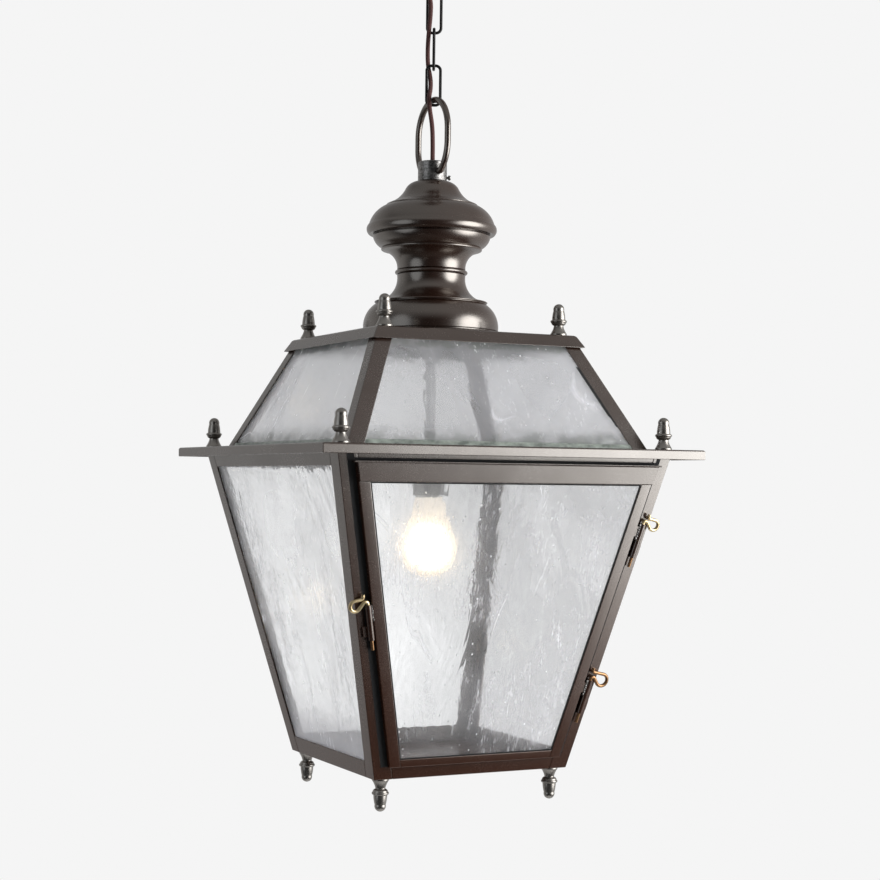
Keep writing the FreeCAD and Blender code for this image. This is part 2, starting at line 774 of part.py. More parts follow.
def make_door():
    """Make the door's rebated stiles and rails and the pane in their rebate."""
    edge = "HALF - door_inset"
    back = "HALF + door_gap"
    rebate = (back, back + " + door_thick - door_face")
    body_of = (back, back + " + door_thick")
    head_low = "door_high - door_head"
    pane_low = "door_low + door_foot - pane_lap"
    pane_high = head_low + " + pane_lap"
    for name, sign in (("door_hinge_stile", 1), ("door_latch_stile", -1)):
        whole = ("%s - door_stile" % edge, edge)
        step = ("%s - door_stile" % edge, "%s - door_web" % edge)
        if sign < 0:
            whole = tuple("-(%s)" % text for text in reversed(whole))
            step = tuple("-(%s)" % text for text in reversed(step))
        blank = slab(name + "_blank", BODY_HALF, "door_low", head_low, whole, body_of)
        hollow = slab(name + "_rebate", BODY_HALF, "door_low", head_low, step, rebate)
        node(cut(blank, hollow, name), name)
    inner = "%s - door_stile" % edge
    blank = slab("door_foot_blank", BODY_HALF, "door_low", "door_low + door_foot",
                 ("-(%s)" % inner, inner), body_of)
    hollow = slab("door_foot_rebate", BODY_HALF, pane_low, "door_low + door_foot",
                  ("-(%s)" % inner, inner), rebate)
    node(cut(blank, hollow, "door_bottom_rail"), "door_bottom_rail")
    blank = slab("door_head_blank", BODY_HALF, head_low, "door_high",
                 ("-(%s)" % edge, edge), (back, back + " + door_thick + door_head_proud"))
    drip_edge = edge + " + door_drip_over"
    drip = slab("door_head_drip", BODY_HALF, "door_high", "door_high + door_drip",
                ("-(%s)" % drip_edge, drip_edge),
                (back, back + " + door_thick + door_head_proud + door_drip_proud"))
    capped = doc.addObject("Part::Fuse", "door_head_capped")
    capped.Base = blank
    capped.Tool = drip
    within = "%s - door_web" % edge
    hollow = slab("door_head_rebate", BODY_HALF, head_low, pane_high,
                  ("-(%s)" % within, within), rebate)
    node(cut(capped, hollow, "door_top_rail"), "door_top_rail")
    pane_edge = "HALF - door_inset - door_web - glass_gap"
    pane = slab("door_pane", BODY_HALF, pane_low, pane_high + " - glass_gap",
                ("-(%s)" % pane_edge, pane_edge),
                (back + " + door_thick - door_face - glass", back + " + door_thick - door_face"))
    node(pane, "door_pane")


def knuckle_frame(side, inset, drop):
    """Return the place of a knuckle's seam: Z along the door's slanted edge, Y off the face.

    SIDE is 1 at the hinges and -1 at the latch.
    """
    slope = value("body_slope")
    half = value(BODY_HALF.replace("LEVEL", "(brim_top - %s)" % drop))
    along = V(side * slope, -slope, 1).normalize()
    off = V(0, -1, -slope).normalize()
    across = off.cross(along)
    out = value("knuckle_out") * math.hypot(1, slope)
    spot = V(side * (half - value(inset)), -half - out, value("brim_top - %s" % drop))
    return FreeCAD.Placement(spot, FreeCAD.Rotation(across, off, along, "ZYX"))


def make_knuckle(name, place, level, ear_box, ear_spot):
    """Make one bored tube with an ear; LEVEL is the height of its lower end."""
    tube = doc.addObject("Part::Cylinder", name + "_tube")
    bind(tube, "Radius", "knuckle_radius")
    bind(tube, "Height", "knuckle_length")
    bind(tube, "Placement.Base.z", level)
    ear = doc.addObject("Part::Box", name + "_ear")
    for prop, text in zip(("Length", "Width", "Height"), ear_box):
        bind(ear, prop, text)
    for letter, text in zip("xyz", ear_spot):
        bind(ear, "Placement.Base." + letter, text)
    blank = doc.addObject("Part::Fuse", name + "_blank")
    blank.Base = tube
    blank.Tool = ear
    bore = doc.addObject("Part::Cylinder", name + "_bore")
    bind(bore, "Radius", "pin_radius + pin_gap")
    bind(bore, "Height", "knuckle_length")
    bind(bore, "Placement.Base.z", level)
    knuckle = cut(blank, bore, name)
    knuckle.Placement = place
    return knuckle


def make_pin(name, place, side, loop, back):
    """Make a loose pin, a bent wire whose upper end curls into a handle.

    LOOP names the radius of the handle and BACK its straight run back to the pin.
    """
    def way(text):
        return "-(%s)" % text if side > 0 else text
    tail = "-(knuckle_length + pin_tail)"
    top = "knuckle_length + knuckle_gap + pin_rise"
    turned = "1" if side > 0 else "-1"
    neck_x = "curl_neck * (1 + %s)" % HALF_ROOT
    neck_z = "%s + curl_neck * %s" % (top, HALF_ROOT)
    fall_x = "%s + curl_reach * %s" % (neck_x, HALF_ROOT)
    fall_z = "%s - curl_reach * %s" % (neck_z, HALF_ROOT)
    loop_x = "%s + %s * %s" % (fall_x, loop, HALF_ROOT)
    loop_z = "%s + %s * (1 + %s)" % (fall_z, loop, HALF_ROOT)
    wide_turn = "sqrt(2 - sqrt(2)) / 2"
    neck_rise = "-%s * curl_neck * (1 - %s)" % (turned, wide_turn)
    loop_rise = "%s * %s * (1 + %s)" % (turned, loop, wide_turn)
    tip_rise = "-%s * curl_tip * (1 - %s)" % (turned, HALF_ROOT)
    tip_x = "%s - %s - curl_tip" % (loop_x, back)
    body, pipe = piped(name, "XZ_Plane", [
        ("0", tail),
        ("0", top),
        (way(neck_x), neck_z, neck_rise),
        (way(fall_x), fall_z),
        (way(loop_x), loop_z, loop_rise),
        (way("%s - %s" % (loop_x, back)), loop_z),
        (way(tip_x), "%s + curl_tip" % loop_z, tip_rise),
        (way(tip_x), "%s + curl_tip + curl_end" % loop_z),
    ], "XY_Plane", tail, ("0", "0"), "pin_radius")
    body.Placement = place
    node(body, name)


def make_hinges():
    """Make the knuckles of door and posts and the three loose pins."""
    slope = value("body_slope")
    lean = "sqrt(1 + body_slope^2) / sqrt(1 + 2 * body_slope^2)"
    places = (
        ("hinge_pin_upper", 1, "hinge_inset", "hinge_upper", "curl_loop", "curl_return"),
        ("hinge_pin_lower", 1, "hinge_inset", "hinge_lower", "long_curl_loop", "long_curl_return"),
        ("latch_pin", -1, "latch_inset", "latch_drop", "curl_loop", "curl_return"),
    )
    on_door = []
    on_post = []
    for name, side, inset, drop, loop, back in places:
        place = knuckle_frame(side, inset, drop)
        reach = "((door_inset - %s) * %s - ear_gap)" % (inset, lean)
        middle = "(knuckle_length - ear_height) / 2"
        on_door.append(make_knuckle(
            name + "_door_side", place, "knuckle_gap",
            (reach, "ear_thick", "ear_height"),
            ("0" if side > 0 else "-" + reach, "-ear_thick / 2", "knuckle_gap + " + middle)))
        on_post.append(make_knuckle(
            name + "_post_side", place, "-knuckle_length",
            ("post_ear", "ear_thick", "ear_height"),
            ("-post_ear" if side > 0 else "0", "ear_gap - knuckle_out", middle + " - knuckle_length")))
        make_pin(name, place, side, loop, back)
    node(group(on_door, "door_knuckles"), "door_knuckles")
    node(group(on_post, "post_knuckles"), "post_knuckles")


def make_finials():
    """Make the turned finials, four to a group; those under the base hang upside down."""
    for name, pitch, level, sign in (("cap_finials", "cap_finial", "cap_top", ""),
                                     ("brim_finials", "brim_finial", "brim_top", ""),
                                     ("foot_finials", "foot_finial", "body_low", "-")):
        other = "" if sign else "-"
        body, turned = spun(name, [
            ("0", "0"),
            ("finial_base", "0"),
            ("finial_base", sign + "finial_base_rim"),
            ("finial_neck", sign + "finial_neck_height", sign + "finial_neck_hollow"),
            ("finial_neck", sign + "finial_bead_foot"),
            ("finial_cup", sign + "finial_cup_top", other + "finial_cup_bulge"),
            ("finial_nut", sign + "finial_nut_foot", other + "finial_bead_bulge"),
            ("finial_crown", sign + "finial_nut_top", other + "finial_crown_bulge"),
            ("finial_tip", sign + "finial_height", other + "finial_tip_bulge"),
            ("0", sign + "finial_height"),
        ], level, pitch)
        body.AllowCompound = True
        four = body.newObject("PartDesign::PolarPattern", name + "_four")
        four.Originals = [turned]
        four.Axis = (origin_feature(body, "Z_Axis"), [""])
        four.Angle = 360
        four.Occurrences = 4
        body.Tip = four
        node(body, name)


def make_lamp():
    """Make the stem, the lampholder and the bulb."""
    body, turned = spun("stem", [
        ("stem_bore", "holder_top"),
        ("stem_radius", "holder_top"),
        ("stem_radius", "crown_top + stem_rise"),
        ("stem_bore", "crown_top + stem_rise"),
    ], "0")
    node(body, "stem")
    socket = "bulb_cap_radius + socket_gap"
    body, turned = spun("lampholder", [
        ("0", "0"),
        ("holder_hub", "0"),
        ("holder_hub", "-holder_hub_height"),
        ("holder_radius", "-holder_shoulder", "(holder_radius - holder_hub) / 5"),
        ("holder_radius", "-holder_length"),
        (socket, "-holder_length"),
        (socket, "socket_depth - holder_length"),
        ("0", "socket_depth - holder_length"),
    ], "holder_top")
    node(body, "lampholder")
    glass_top = "(holder_low - bulb_cap_proud)"
    body, turned = spun("bulb_cap", [
        ("0", glass_top),
        ("bulb_cap_radius", glass_top),
        ("bulb_cap_radius", "holder_low + socket_depth * 0.8"),
        ("bulb_cap_radius / 3", "holder_low + socket_depth - socket_gap"),
        ("0", "holder_low + socket_depth - socket_gap"),
    ], "0")
    node(body, "bulb_cap")
    rise = "(%s - bulb_centre)" % glass_top
    reach = "(bulb_neck^2 + %s^2)" % rise
    touch = "sqrt(%s - bulb_radius^2)" % reach
    touch_x = "(bulb_radius * (bulb_radius * bulb_neck + %s * %s) / %s)" % (touch, rise, reach)
    touch_z = "(bulb_radius * (bulb_radius * %s - %s * bulb_neck) / %s)" % (rise, touch, reach)
    bottom = "(-sqrt(bulb_radius^2 - bulb_flat^2))"
    chord = "((%s - bulb_flat)^2 + (%s - %s)^2)" % (touch_x, touch_z, bottom)
    dip = "(bulb_radius - sqrt(bulb_radius^2 - %s / 4))" % chord
    body, turned = spun("bulb_glass", [
        ("0", rise),
        ("bulb_neck", rise),
        (touch_x, touch_z),
        ("bulb_flat", bottom, dip),
        ("0", bottom),
    ], "bulb_centre")
    node(body, "bulb_glass")


def route_edges():
    """Join the cord's runs with tangent arcs; return each corner's arc and its radius."""
    points = [V(across, along, value(level)) for across, along, level in CORD_ROUTE]
    corners = []
    for before, point, after in zip(points, points[1:], points[2:]):
        back = before - point
        ahead = after - point
        reach = (1 - CORD_STRAIGHT) / 2 * min(back.Length, ahead.Length)
        back.normalize()
        ahead.normalize()
        half = back.getAngle(ahead) / 2
        start = point + back * reach
        end = point + ahead * reach
        bisector = (back + ahead).normalize()
        radius = reach * math.tan(half)
        middle = point + bisector * (radius / math.sin(half) - radius)
        corners.append((start, middle, end, radius))
    return points, corners


def make_cord():
    """Make the supply cord's stretches, each a tube that crosses one joint of the chain."""
    points, corners = route_edges()
    turn = chain_frame()
    radius = value("cord_radius")
    stretches = [[]]
    place = points[0]
    for run in range(len(points) - 1):
        goal = corners[run][0] if run < len(corners) else points[-1]
        if run in CORD_CUTS:
            halfway = (place + goal) * 0.5
            stretches[-1].append(Part.LineSegment(place, halfway).toShape())
            stretches.append([])
            place = halfway
        stretches[-1].append(Part.LineSegment(place, goal).toShape())
        if run < len(corners):
            start, middle, end, bend = corners[run]
            stretches[-1].append(Part.Arc(start, middle, end).toShape())
            place = end
    print("cord radii", " ".join("%.0f" % corner[3] for corner in corners))
    for number, edges in enumerate(stretches, 1):
        path = Part.Wire(edges)
        first = edges[0]
        ring = Part.Wire(Part.makeCircle(radius, first.valueAt(first.FirstParameter),
                                         first.tangentAt(first.FirstParameter)))
        tube = path.makePipeShell([ring], True, False)
        ideal = math.pi * radius ** 2 * path.Length
        print("cord_%d length %.1f volume %.4f of its section times its length"
              % (number, path.Length, tube.Volume / ideal))
        stretch = doc.addObject("Part::Feature", "cord_%d" % number)
        stretch.Shape = tube
        stretch.Placement = FreeCAD.Placement(V(0, 0, 0), turn)
        node(stretch, "cord_%d" % number)


def check_all():
    """Stop if any object failed or any sub-part has no valid solid."""
    for thing in doc.Objects:
        if "Invalid" in thing.State or "Error" in thing.State:
            raise RuntimeError("%s failed: %s" % (thing.Label, thing.State))
    for thing in nodes:
        if thing.Shape.isNull() or not thing.Shape.isValid() or not thing.Shape.Solids:
            raise RuntimeError("%s has no valid solid" % thing.Label)


fill_sheets()
make_bar()
make_canopy()
make_link("chain_link_1", "link_one", 0)
make_link("chain_link_2", "link_two", 90)
make_link("chain_link_3", "link_three", 0)
make_ring()
make_collar()
make_crown()
make_top_cap()
make_roof()
make_brim()
make_frame()
make_door()
make_hinges()
make_finials()
make_lamp()
make_cord()
doc.recompute()
check_all()
os.makedirs("parts", exist_ok=True)
for thing in nodes:
    thing.Shape.exportStep("parts/%s.step" % thing.Label)
print(len(nodes), "sub-parts")
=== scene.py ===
import json
import math

import bmesh
import bpy
from mathutils import Matrix, Vector

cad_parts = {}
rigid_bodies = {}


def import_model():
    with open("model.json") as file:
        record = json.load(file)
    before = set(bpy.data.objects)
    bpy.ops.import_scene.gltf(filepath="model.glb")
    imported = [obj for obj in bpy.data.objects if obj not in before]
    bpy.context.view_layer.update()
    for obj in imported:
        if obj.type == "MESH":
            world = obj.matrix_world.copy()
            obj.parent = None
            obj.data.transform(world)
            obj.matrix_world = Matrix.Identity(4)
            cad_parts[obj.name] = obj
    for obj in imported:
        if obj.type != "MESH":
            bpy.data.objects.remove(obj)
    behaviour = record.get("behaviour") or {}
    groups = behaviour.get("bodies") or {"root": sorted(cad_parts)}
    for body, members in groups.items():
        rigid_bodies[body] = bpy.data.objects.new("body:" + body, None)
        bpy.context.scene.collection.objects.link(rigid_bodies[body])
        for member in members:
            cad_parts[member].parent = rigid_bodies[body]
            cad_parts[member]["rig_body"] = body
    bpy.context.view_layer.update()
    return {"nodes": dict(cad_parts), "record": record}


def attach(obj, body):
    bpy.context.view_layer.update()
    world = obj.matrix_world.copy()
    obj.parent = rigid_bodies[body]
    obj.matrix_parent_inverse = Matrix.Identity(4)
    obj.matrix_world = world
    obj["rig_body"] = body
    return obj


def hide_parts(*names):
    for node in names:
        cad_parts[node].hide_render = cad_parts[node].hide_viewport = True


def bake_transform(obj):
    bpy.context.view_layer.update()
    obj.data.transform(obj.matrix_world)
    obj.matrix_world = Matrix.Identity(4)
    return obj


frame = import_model()
slots = {entry["node"]: entry["material_slot"] for entry in frame["record"]["subparts"]}

MM = 0.001
QUARTER = math.radians(90)

# The chain hangs turned to the photograph's viewpoint, and these run to the camera and across its view.
CHAIN_TURN = Matrix.Rotation(math.radians(-26), 4, "Z")
TO_CAMERA = (-0.438, -0.899, 0)
ACROSS_VIEW = (0.899, -0.438, 0)

# Heights on the CAD model, in millimetres from the ceiling.
LID_BASE = -293.0
BOWL_BASE = -328.7
WAIST_BASE = -334.3
CAP_TOP = -397.8
BRIM_TOP = -510.9
DOOR_PANE_TOP = -544.9
DOOR_PANE_LOW = -804.9
BODY_LOW = -824.4

# Half widths of the tapered body and of the roof at their lower ends, in millimetres, and slopes.
BODY_HALF = 103.6
BODY_SLOPE = 0.23578
ROOF_HALF = 159.6
ROOF_SLOPE = 0.4823

# The supply cord's points in the chain's turned frame, in millimetres, one row to a stretch.
# Neighbouring stretches share the point in the middle of a run where they meet.
CORD_STRETCHES = (
    ("cord_1", "canopy", "link_1", -49.0,
     ((-12, -5, -20), (-12, -5, -28), (-8.6, -4.9, -40), (-3.4, -4.6, -54), (-3.6, -4.6, -62))),
    ("cord_2", "link_1", "link_2", -85.6,
     ((-3.6, -4.6, -62), (-3.8, -4.6, -70), (-5.4, -4.9, -86), (-5.9, -2.45, -94))),
    ("cord_3", "link_2", "link_3", -122.7,
     ((-5.9, -2.45, -94), (-6.4, 0, -102), (-6, 4.9, -118.5), (-3.2, 2.8, -130), (-2.9, 1, -136))),
    ("cord_4", "link_3", "ring", -159.8,
     ((-2.9, 1, -136), (-2.6, -0.8, -142), (-4.7, -5.4, -154), (-3.4, -5.4, -166),
      (-2, -4.4, -174))),
    ("cord_5", "ring", "lantern", -229.2,
     ((-2, -4.4, -174), (-0.6, -3.4, -182), (0, -1.2, -200), (0, 0, -214), (0, 0, -222))),
)
CORD_WIDTH = 4.6


class Value:
    """A shader value whose arithmetic adds Math nodes to its finish."""

    def __init__(self, finish, socket):
        self.finish = finish
        self.socket = socket

    def joined(self, operation, first, second):
        return self.finish.add("ShaderNodeMath", {"operation": operation}, {0: first, 1: second})

    def __add__(self, other):
        return self.joined("ADD", self, other)

    __radd__ = __add__

    def __sub__(self, other):
        return self.joined("SUBTRACT", self, other)

    def __rsub__(self, other):
        return self.joined("SUBTRACT", other, self)

    def __mul__(self, other):
        return self.joined("MULTIPLY", self, other)

    __rmul__ = __mul__

    def __gt__(self, other):
        return self.joined("GREATER_THAN", self, other)

    def __lt__(self, other):
        return self.joined("LESS_THAN", self, other)


class Finish:
    """A procedural finish under construction, on a material or on the world."""

    def __init__(self, owner):
        owner.use_nodes = True
        self.owner = owner
        self.tree = owner.node_tree
        self.tree.nodes.clear()

    def add(self, kind, settings=None, inputs=None, output=0):
        """Add a node, set it up, feed its sockets and return one of its outputs."""
        node = self.tree.nodes.new(kind)
        for key, setting in (settings or {}).items():
            setattr(node, key, setting)
        for key, given in (inputs or {}).items():
            if isinstance(given, Value):
                self.tree.links.new(given.socket, node.inputs[key])
            else:
                node.inputs[key].default_value = given
        return Value(self, node.outputs[output])

    def place(self, stretch=(1, 1, 1)):
        """Return Object coordinates, scaled along the axes."""
        spot = self.add("ShaderNodeTexCoord", output="Object")
        if stretch == (1, 1, 1):
            return spot
        return self.add("ShaderNodeMapping", inputs={"Vector": spot, "Scale": stretch})

    def height(self, spot):
        """Return the upward part of a vector."""
        return self.add("ShaderNodeSeparateXYZ", inputs={0: spot}, output="Z")

    def facing(self):
        """Return how far a surface turns away from the ray that meets it."""
        return self.add("ShaderNodeLayerWeight", inputs={"Blend": 0.5}, output="Facing")

    def along(self, way, axis):
        """Return how far one direction runs along another."""
        return self.add("ShaderNodeVectorMath", {"operation": "DOT_PRODUCT"}, {0: way, 1: axis},
                        output="Value")

    def noise(self, spot, scale, detail=2, roughness=0.5, distortion=0):
        """Return a cloudy pattern."""
        return self.add("ShaderNodeTexNoise", inputs={
            "Vector": spot, "Scale": scale, "Detail": detail, "Roughness": roughness,
            "Distortion": distortion})

    def cells(self, spot, scale, output="Distance"):
        """Return a pattern of scattered cells."""
        return self.add("ShaderNodeTexVoronoi", inputs={"Vector": spot, "Scale": scale},
                        output=output)

    def fitted(self, value, low, high, to_low=0.0, to_high=1.0):
        """Map a range of values to another and hold it at the ends."""
        return self.add("ShaderNodeMapRange", inputs={
            "Value": value, "From Min": low, "From Max": high, "To Min": to_low,
            "To Max": to_high})

    def mixed(self, factor, first, second):
        """Mix two colours."""
        return self.add("ShaderNodeMix", {"data_type": "RGBA"},
                        {0: factor, 6: first, 7: second}, output=2)

    def bump(self, height, strength, depth):
        """Return a normal that raises a pattern from the surface."""
        return self.add("ShaderNodeBump", inputs={
            "Height": height, "Strength": strength, "Distance": depth})

    def finish(self, shader):
        """Connect a shader to the output."""
        kind = "World" if isinstance(self.owner, bpy.types.World) else "Material"
        node = self.tree.nodes.new("ShaderNodeOutput" + kind)
        self.tree.links.new(shader.socket, node.inputs["Surface"])
        return self.owner


def new_finish(name):
    """Start a finish on a new material."""
    return Finish(bpy.data.materials.new(name))


def bronze_finish():
    """Satin oil-rubbed bronze: neutral lacquer over brown, with painted shade that darkens it and lets
    more brown show towards the foot, and a painted highlight on the crown.
    """
    f = new_finish("oiled_bronze")
    spot = f.place()
    mottle = f.noise(spot, 14, 5, 0.6)
    grain = f.noise(spot, 1100, 2)
    height = f.height(spot)
    satin = f.mixed(f.fitted(mottle, 0.3, 0.7), (0.144, 0.138, 0.130, 1), (0.178, 0.171, 0.162, 1))
    # Above about the top cap the crown is lightened: a painted highlight.
    satin_with_painted_crown_highlight = f.mixed(f.fitted(height, -0.415, -0.385), satin, (0.186, 0.174, 0.161, 1))
    # Towards the foot the neutral sheen darkens to brown: painted shade.
    sheen_with_painted_foot_shade = f.mixed(f.fitted(height, -0.82, -0.58, 0.57, 0), satin_with_painted_crown_highlight, (0.040, 0.022, 0.016, 1))
    brown = f.mixed(mottle, (0.40, 0.110, 0.040, 1), (0.50, 0.15, 0.06, 1))
    lacquer = f.add("ShaderNodeBsdfPrincipled", inputs={
        "Base Color": sheen_with_painted_foot_shade, "Metallic": 1.0, "Roughness": 0.18 + 0.08 * mottle + 0.08 * grain,
        "Normal": f.bump(grain, 0.14, 0.0001)})
    ground = f.add("ShaderNodeBsdfPrincipled", inputs={
        "Base Color": brown, "Roughness": 0.6, "Specular IOR Level": 0.0,
        "Normal": f.bump(grain, 0.14, 0.0001)})
    # The brown ground's share rises towards the foot: painted shade.
    brown_share_with_painted_foot_shade = f.fitted(height, -0.83, -0.40, 0.055, 0.026)
    return f.finish(f.add("ShaderNodeMixShader", inputs={0: brown_share_with_painted_foot_shade, 1: lacquer, 2: ground}))


def plated_finish():
    """Gunmetal plate of the finials, with faint lathe marks."""
    f = new_finish("gunmetal_plate")
    marks = f.noise(f.place((1, 1, 60)), 60, 2)
    cloud = f.noise(f.place(), 30, 3)
    colour = f.mixed(cloud, (0.25, 0.232, 0.210, 1), (0.39, 0.370, 0.345, 1))
    return f.finish(f.add("ShaderNodeBsdfPrincipled", inputs={
        "Base Color": colour, "Metallic": 0.95, "Roughness": 0.25 + 0.12 * marks,
        "Normal": f.bump(marks, 0.05, 0.0001)}))


def brass_finish():
    """Brass wire, bright at the upper pins and gone brown at the lowest one and at the tails."""
    f = new_finish("aged_brass")
    spot = f.place()
    tarnish = f.noise(spot, 130, 4, 0.6)
    height = f.height(spot)
    bright = f.mixed(f.fitted(tarnish, 0.40, 0.75), (0.80, 0.66, 0.40, 1), (0.42, 0.30, 0.15, 1))
    copper = f.mixed(tarnish, (0.44, 0.26, 0.13, 1), (0.22, 0.11, 0.055, 1))
    upper_tail = (height < -0.614) * (height > -0.635)
    latch_tail = (height < -0.688) * (height > -0.705)
    browned = (height < -0.710) + upper_tail + latch_tail
    return f.finish(f.add("ShaderNodeBsdfPrincipled", inputs={
        "Base Color": f.mixed(browned, bright, copper), "Metallic": 0.95,
        "Roughness": 0.24 + 0.16 * tarnish, "Normal": f.bump(tarnish, 0.1, 0.0004)}))


def chain_finish():
    """Near-black lacquered chain with worn highs."""
    f = new_finish("black_chain")
    worn = f.noise(f.place(), 220, 4, 0.65)
    colour = f.mixed(f.fitted(worn, 0.55, 0.75), (0.012, 0.011, 0.011, 1), (0.07, 0.06, 0.055, 1))
    return f.finish(f.add("ShaderNodeBsdfPrincipled", inputs={
        "Base Color": colour, "Metallic": 0.5, "Roughness": 0.3 + 0.2 * worn,
        "Normal": f.bump(worn, 0.15, 0.0004)}))


def glass_finish():
    """Antique pane: wavy, with lines, arcs, seeds, a veil, grime on the roof and mist at a foot; its lines
    and seeds glow faintly as painted light.
    """
    f = new_finish("antique_glass")
    spot = f.place()
    height = f.height(spot)
    wave = f.noise(f.place((1, 1, 0.4)), 22, 3, 0.5, 1.2)
    cloud = f.noise(f.place((1, 1, 0.7)), 7, 4, 0.55, 1.5)
    patch = f.fitted(cloud, 0.52, 0.62)
    drawn = f.fitted(f.noise(f.place((1, 1, 0.012)), 280, 3, 0.6, 0.15), 0.57, 0.68)
    swirl = f.noise(f.place((1, 1, 0.35)), 7, 2, 0.3, 0.9)
    line = f.add("ShaderNodeMath", {"operation": "ABSOLUTE"}, {0: swirl - 0.5})
    broken = f.fitted(f.noise(spot, 17, 3, 0.6), 0.52, 0.62)
    arc = f.fitted(line, 0.0, 0.006, 0.7, 0) * broken
    scratch = f.fitted(0.95 * drawn * patch + arc, 0, 1)
    dots = f.place((1, 1, 0.75))
    chosen = f.add("ShaderNodeSeparateColor", inputs={0: f.cells(dots, 120, "Color")}) > 0.55
    bubble = f.fitted(f.cells(dots, 120), 0.05, 0.12, 1, 0) * chosen
    relief = 1.6 * wave + 0.1 * scratch + 0.35 * bubble
    clear = f.add("ShaderNodeBsdfPrincipled", inputs={
        "Base Color": (0.985, 0.990, 0.994, 1), "Roughness": 0.02 + 0.05 * scratch, "IOR": 1.4,
        "Transmission Weight": 1.0, "Normal": f.bump(relief, 0.22, 0.002)})
    halo = f.add("ShaderNodeBsdfPrincipled", inputs={
        "Base Color": (0.985, 0.990, 0.994, 1), "Roughness": 0.42, "IOR": 1.3,
        "Transmission Weight": 1.0, "Normal": f.bump(relief, 0.3, 0.002)})
    # The lines and seeds glow of themselves in the dust film: painted light.
    mark = f.fitted(scratch + bubble, 0, 1)
    roofed = height > -0.512
    edges = f.fitted(height, -0.511, -0.490, 0.40, 0) + f.fitted(height, -0.420, -0.408, 0, 0.5)
    grime = roofed * edges * f.fitted(f.noise(spot, 55, 4, 0.65), 0.30, 0.62)
    dust = f.mixed(f.fitted(grime, 0, 0.15), (0.78, 0.78, 0.82, 1), (0.22, 0.235, 0.225, 1))
    dust_film_with_painted_glow = f.add("ShaderNodeBsdfPrincipled", inputs={
        "Base Color": dust, "Roughness": 0.6, "Specular IOR Level": 0.2,
        "Emission Color": f.mixed(mark, (0, 0, 0, 1), (0.58, 0.59, 0.60, 1)),
        "Emission Strength": 1.0, "Normal": f.bump(relief, 0.4, 0.002)})
    lit_through = f.add("ShaderNodeBsdfTranslucent", inputs={"Color": (0.92, 0.92, 0.95, 1)})
    milk = f.add("ShaderNodeMixShader", inputs={0: f.fitted(grime, 0, 0.3, 0.55, 0.1), 1: dust_film_with_painted_glow,
                                                2: lit_through})
    soft = f.add("ShaderNodeMixShader", inputs={0: 0.11 + 0.20 * scratch, 1: clear, 2: halo})
    facing = f.facing()
    left_pane = f.add("ShaderNodeSeparateXYZ", inputs={0: spot}, output="X") < -0.098
    mist = left_pane * f.fitted(height, -0.815, -0.765, 0.6, 0)
    veil = (f.fitted(cloud, 0.40, 0.68, 0.0, 0.12) + f.fitted(facing, 0.15, 0.6, 0, 0.15)
            + 0.12 * roofed + grime + mist + 0.45 * scratch + 0.6 * bubble)
    return f.finish(f.add("ShaderNodeMixShader", inputs={0: f.fitted(veil, 0, 1), 1: soft, 2: milk}))


def bulb_finish():
    """Lit bulb that glows from the middle of its globe and thins out to clear glass at its rim."""
    f = new_finish("lit_bulb")
    spot = f.place()
    cloud = f.noise(spot, 30, 2)
    height = f.height(spot)
    facing = f.facing()
    globe = f.fitted(height, -0.600, -0.578, 1, 0)
    core = globe * f.fitted(facing, 0.02, 0.58, 1, 0)
    glow = f.mixed(cloud, (1.0, 0.73, 0.42, 1), (1.0, 0.80, 0.52, 1))
    return f.finish(f.add("ShaderNodeBsdfPrincipled", inputs={
        "Base Color": (0.60, 0.59, 0.57, 1), "Roughness": 0.35 + 0.1 * cloud,
        "Emission Color": f.mixed(core * core, (0.055, 0.053, 0.050, 1), glow),
        "Emission Strength": 7.0,
        "Alpha": f.fitted(facing, 0.40, 0.88, 1, 0) * (0.55 + 0.45 * globe)}))


def holder_finish():
    """Moulded dark lampholder."""
    f = new_finish("dark_holder")
    grain = f.noise(f.place(), 500, 2)
    colour = f.mixed(grain, (0.30, 0.30, 0.30, 1), (0.42, 0.417, 0.41, 1))
    return f.finish(f.add("ShaderNodeBsdfPrincipled", inputs={
        "Base Color": colour, "Metallic": 0.8, "Roughness": 0.30 + 0.12 * grain,
        "Normal": f.bump(grain, 0.1, 0.0003)}))


def steel_finish():
    """Plated steel tube, drawn along its length."""
    f = new_finish("plated_steel")
    drawn = f.noise(f.place((1, 1, 0.02)), 600, 2)
    colour = f.mixed(drawn, (0.42, 0.42, 0.42, 1), (0.60, 0.60, 0.60, 1))
    return f.finish(f.add("ShaderNodeBsdfPrincipled", inputs={
        "Base Color": colour, "Metallic": 0.95, "Roughness": 0.25 + 0.15 * drawn,
        "Normal": f.bump(drawn, 0.06, 0.0003)}))


def worn_finish():
    """Bare worn metal of the collar and its screw, with pits and bright rubbed spots."""
    f = new_finish("worn_metal")
    pits = f.noise(f.place(), 420, 4, 0.7)
    colour = f.mixed(f.fitted(pits, 0.40, 0.62), (0.13, 0.124, 0.118, 1), (0.36, 0.35, 0.34, 1))
    return f.finish(f.add("ShaderNodeBsdfPrincipled", inputs={
        "Base Color": colour, "Metallic": 1.0, "Roughness": 0.28 + 0.20 * pits,
        "Normal": f.bump(pits, 0.35, 0.0004)}))


def putty_and_shade_strip_finish():
    """Dull black glazing putty, also laid as strips of painted shade beside and above the door."""
    f = new_finish("black_putty_and_painted_shade")
    lumps = f.noise(f.place(), 700, 3)
    colour = f.mixed(lumps, (0.008, 0.008, 0.009, 1), (0.025, 0.026, 0.027, 1))
    return f.finish(f.add("ShaderNodeBsdfPrincipled", inputs={
        "Base Color": colour, "Roughness": 0.55 + 0.2 * lumps, "Specular IOR Level": 0.2,
        "Normal": f.bump(lumps, 0.3, 0.0003)}))


